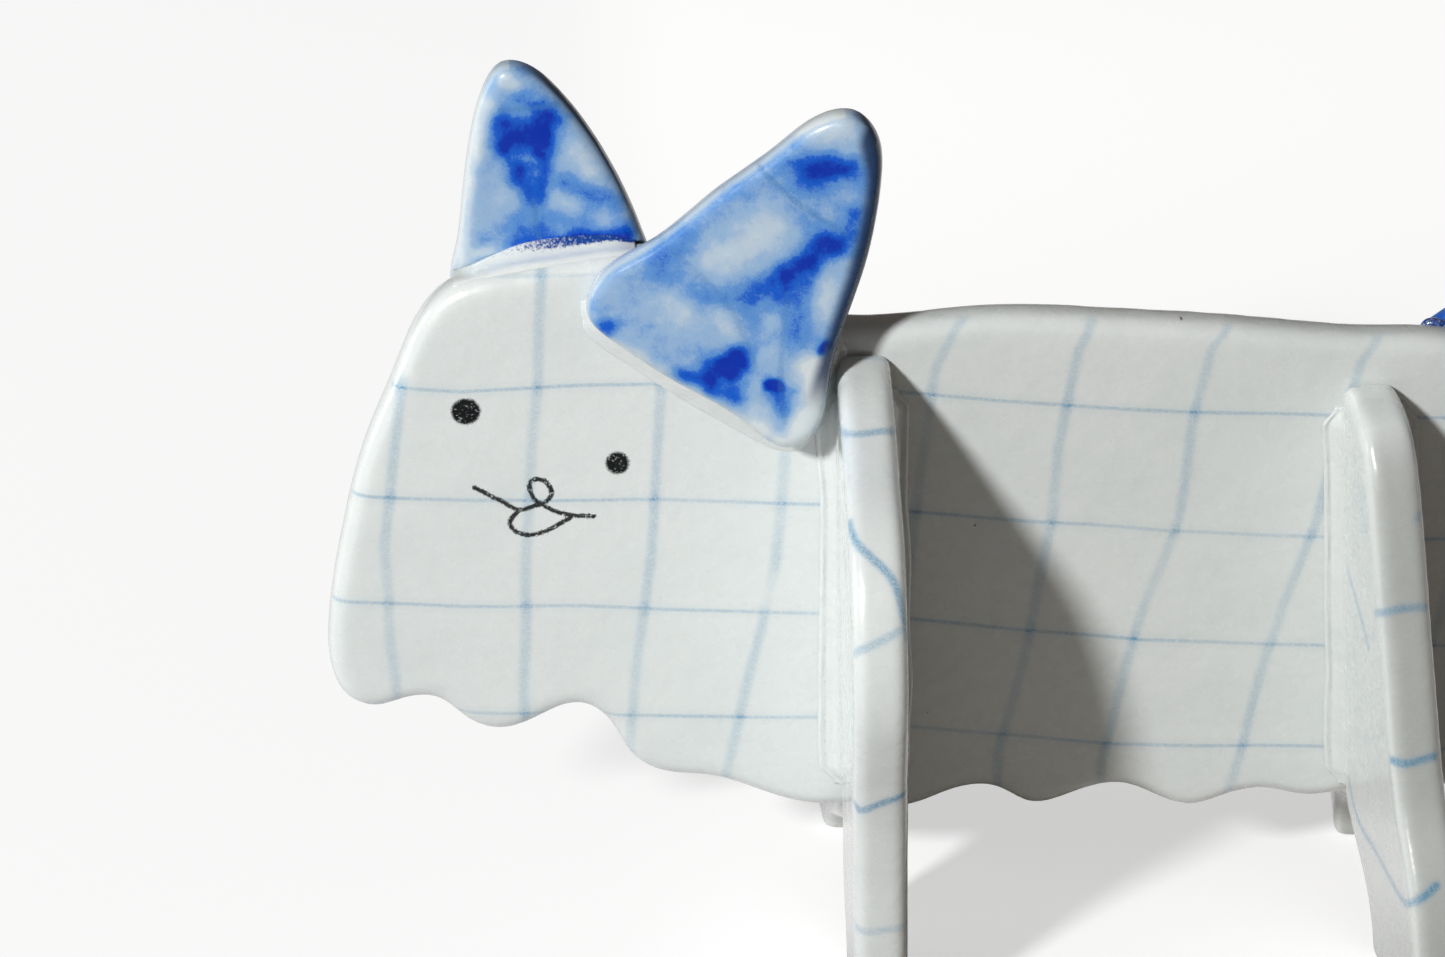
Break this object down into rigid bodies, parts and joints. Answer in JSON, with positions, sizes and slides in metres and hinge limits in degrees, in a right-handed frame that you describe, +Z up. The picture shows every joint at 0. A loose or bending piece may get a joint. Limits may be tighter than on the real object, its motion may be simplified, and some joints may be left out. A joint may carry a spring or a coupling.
{
  "type": "ceramic cat figurine",
  "caption": "Slab-built glazed porcelain cat standing on slab legs, with a hand-drawn blue grid, a pencil face, blue washed ears and a raised tail.",
  "frame": {"origin": "centre of the part's box, on the table under the four feet", "axes": "+X from the nose to the tail, +Y to the cat's right side, +Z up"},
  "size_m": [0.14, 0.067, 0.0944],
  "materials": {
    "white_glaze": "glossy clear glaze over white porcelain with thin cobalt lines",
    "blue_wash_glaze": "glossy clear glaze over a mottled cobalt wash",
    "slip_bead": "glossy glaze over joining slip, with small pits"
  },
  "bodies": {
    "root": {"body_slab": "white_glaze", "front_left_leg": "white_glaze", "front_right_leg": "white_glaze", "rear_left_leg": "white_glaze", "rear_right_leg": "white_glaze", "left_ear": "blue_wash_glaze", "right_ear": "blue_wash_glaze", "tail": "blue_wash_glaze", "left_ear_seam": "slip_bead", "right_ear_seam_top": "slip_bead", "right_ear_seam_under": "slip_bead", "tail_seam_top": "slip_bead", "tail_seam_under": "slip_bead", "front_left_leg_seam_fore": "slip_bead", "front_left_leg_seam_aft": "slip_bead", "front_right_leg_seam_fore": "slip_bead", "front_right_leg_seam_aft": "slip_bead", "rear_left_leg_seam_fore": "slip_bead", "rear_left_leg_seam_aft": "slip_bead", "rear_right_leg_seam_fore": "slip_bead", "rear_right_leg_seam_aft": "slip_bead"}
  },
  "joints": []
}
